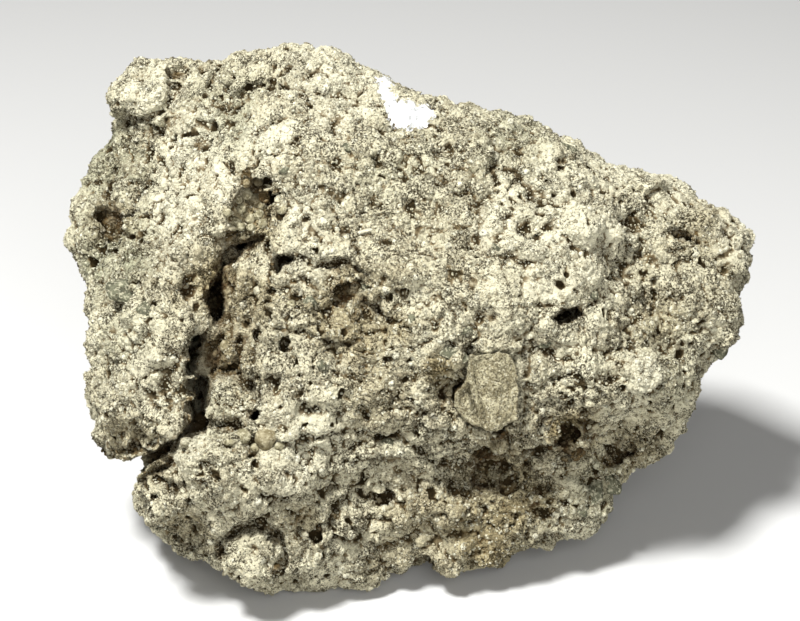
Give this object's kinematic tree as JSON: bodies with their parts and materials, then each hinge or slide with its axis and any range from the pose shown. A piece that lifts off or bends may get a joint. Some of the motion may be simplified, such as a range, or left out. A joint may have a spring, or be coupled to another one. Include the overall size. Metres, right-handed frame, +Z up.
{
  "type": "tufa rock specimen",
  "caption": "Rough block of crumbly limestone tufa with a deep L-shaped fissure, a lump wedged in it, a smooth inset stone in its broad face and a flat foot.",
  "frame": {"origin": "on the ground under the middle of the stone's bounding box", "axes": "+X to the right along the stone's length, -Y towards the broad face with the fissure, +Z up"},
  "size_m": [0.1408, 0.0866, 0.1017],
  "materials": {
    "tufa": "rough, porous, unpolished stone",
    "sandstone": "matt, fine-grained stone"
  },
  "bodies": {
    "root": {"tufa_body": "tufa", "sandstone_block": "sandstone"}
  },
  "joints": []
}
